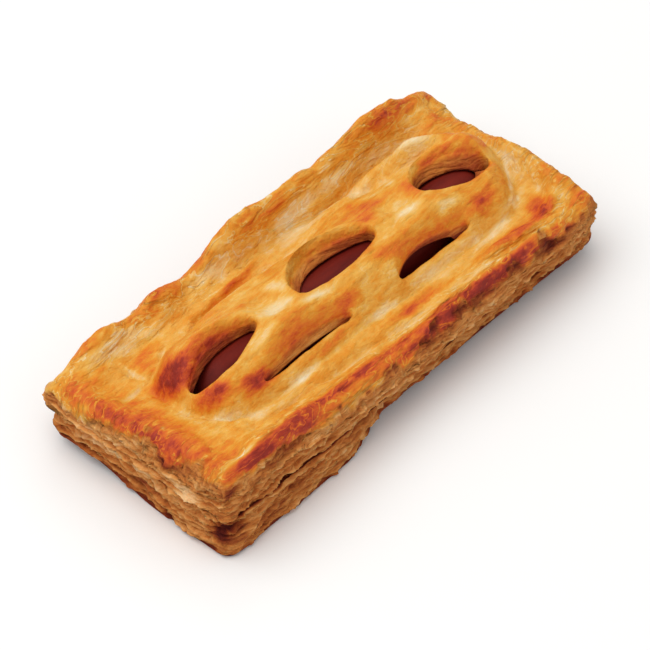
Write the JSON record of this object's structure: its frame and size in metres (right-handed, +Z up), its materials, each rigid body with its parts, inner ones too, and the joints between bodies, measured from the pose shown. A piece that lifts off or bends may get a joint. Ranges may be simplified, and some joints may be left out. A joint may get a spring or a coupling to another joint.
{
  "type": "sausage roll",
  "caption": "Baked puff pastry slab with a slit, puffed lid over a whole frankfurter, which shows through the lens-shaped windows between the glazed strips.",
  "frame": {"origin": "centre of the underside, on the surface the roll rests on", "axes": "+X along the roll and the sausage in it, +Y across it, +Z up"},
  "size_m": [0.1588, 0.07, 0.0342],
  "materials": {
    "pastry_base": "flaky baked puff pastry",
    "pastry_lid": "egg-glazed baked puff pastry",
    "sausage": "smoked sausage skin, slightly moist"
  },
  "bodies": {
    "root": {"pastry_base": "pastry_base", "pastry_lid": "pastry_lid", "sausage": "sausage"}
  },
  "joints": []
}
